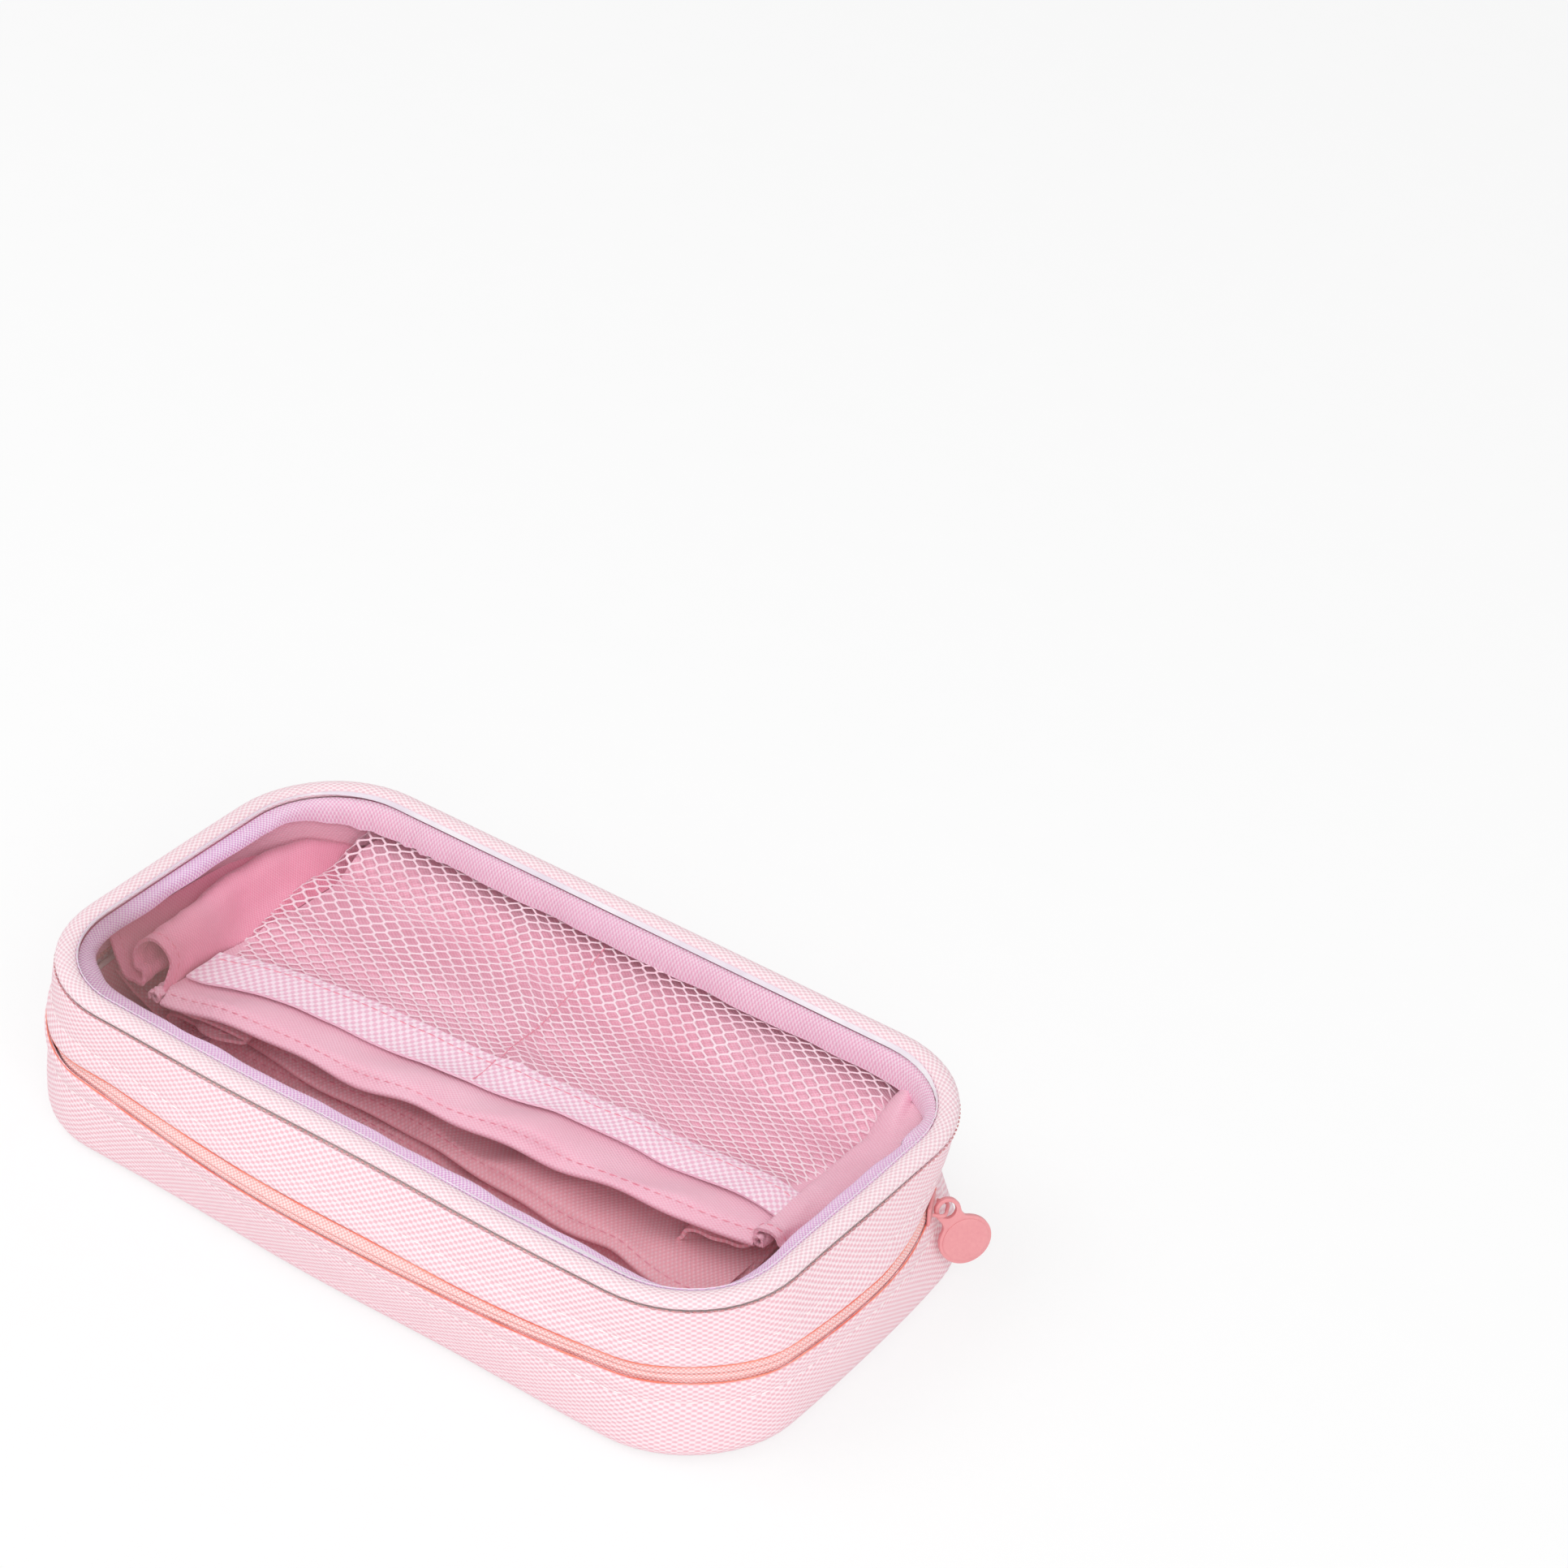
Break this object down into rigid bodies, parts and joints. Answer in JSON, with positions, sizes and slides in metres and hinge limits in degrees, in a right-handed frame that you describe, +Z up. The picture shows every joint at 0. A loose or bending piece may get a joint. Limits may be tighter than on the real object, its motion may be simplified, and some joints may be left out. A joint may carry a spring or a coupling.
{
  "type": "expandable pencil case",
  "caption": "Soft zipped pencil case of two hinged trays with a clear window in the lid and fabric dividers that fan out between them when it opens.",
  "frame": {"origin": "centre of the base's flat underside, where the shut case rests", "axes": "+X along the long side, towards the end with the slider; +Y towards the spine; +Z up, from the base to the window"},
  "size_m": [0.2306, 0.128, 0.045],
  "materials": {
    "canvas": "pale pink coarse woven polyester canvas",
    "foam": "closed-cell padding sheet, hidden between the fabrics",
    "lining": "rose pink plain-weave lining with a satin sheen",
    "board": "thin stiffening sheet, hidden in the sleeves",
    "zip_tape": "woven coral zip tape",
    "zip_coil": "moulded coral zip coil",
    "net": "knitted pale pink net",
    "webbing": "pale pink woven webbing",
    "ribbon": "lilac ribbed ribbon with a sheen",
    "window": "clear soft vinyl sheet",
    "slider": "matte coral coating on the slider and pull"
  },
  "bodies": {
    "base": {"base_canvas": "canvas", "base_foam": "foam", "base_lining": "lining", "base_zip_tape": "zip_tape", "base_zip_coil": "zip_coil", "spine_roll": "canvas", "gusset_left_base": "lining", "gusset_right_base": "lining"},
    "front_divider": {"front_divider_sleeve": "lining", "front_divider_board": "board", "gusset_left_low_pleat": "lining", "gusset_right_low_pleat": "lining"},
    "middle_divider": {"middle_divider_sleeve": "lining", "middle_divider_board": "board", "gusset_left_high_pleat": "lining", "gusset_right_high_pleat": "lining"},
    "mesh_divider": {"mesh_divider_sleeve": "lining", "mesh_divider_board": "board", "mesh_pocket_net": "net", "mesh_pocket_tape": "webbing"},
    "lid": {"lid_canvas": "canvas", "lid_foam": "foam", "lid_lining": "lining", "lid_zip_tape": "zip_tape", "lid_zip_coil": "zip_coil", "window_piping": "canvas", "window_pane": "window", "window_ribbon": "ribbon", "gusset_left_lid": "lining", "gusset_right_lid": "lining"},
    "slider": {"slider_body": "slider", "slider_inner_plate": "slider"},
    "pull_tab": {"pull_tab": "slider"}
  },
  "joints": [
    {"name": "front_divider_fold", "type": "hinge", "parent": "base", "child": "front_divider", "pos_m": [0, 0.0595, 0.025], "axis": [-1, 0, 0], "range_deg": [0, 56], "deforming": ["gusset_left_base", "gusset_right_base"]},
    {"name": "middle_divider_fold", "type": "hinge", "parent": "front_divider", "child": "middle_divider", "pos_m": [0, 0.0595, 0.025], "axis": [-1, 0, 0], "range_deg": [0, 54], "deforming": ["gusset_left_low_pleat", "gusset_right_low_pleat"]},
    {"name": "mesh_divider_fold", "type": "hinge", "parent": "middle_divider", "child": "mesh_divider", "pos_m": [0, 0.0595, 0.025], "axis": [-1, 0, 0], "range_deg": [0, 38], "deforming": ["gusset_left_high_pleat", "gusset_right_high_pleat"]},
    {"name": "lid_fold", "type": "hinge", "parent": "mesh_divider", "child": "lid", "pos_m": [0, 0.0595, 0.025], "axis": [-1, 0, 0], "range_deg": [0, 32], "deforming": ["gusset_left_lid", "gusset_right_lid"]},
    {"name": "slider_travel", "type": "hinge", "parent": "base", "child": "slider", "pos_m": [0.03669, -0.00449, 0.025], "axis": [0, 0, 1], "range_deg": [-27, 0]},
    {"name": "pull_tab_swing", "type": "hinge", "parent": "slider", "child": "pull_tab", "pos_m": [0.10912, 0.03054, 0.025], "axis": [-0.4354, 0.9002, 0], "range_deg": [-85, 5]}
  ],
  "couplings": [
    {"joint": "middle_divider_fold", "follows": "front_divider_fold", "ratio": 0.96429},
    {"joint": "mesh_divider_fold", "follows": "front_divider_fold", "ratio": 0.67857},
    {"joint": "lid_fold", "follows": "front_divider_fold", "ratio": 0.57143}
  ]
}
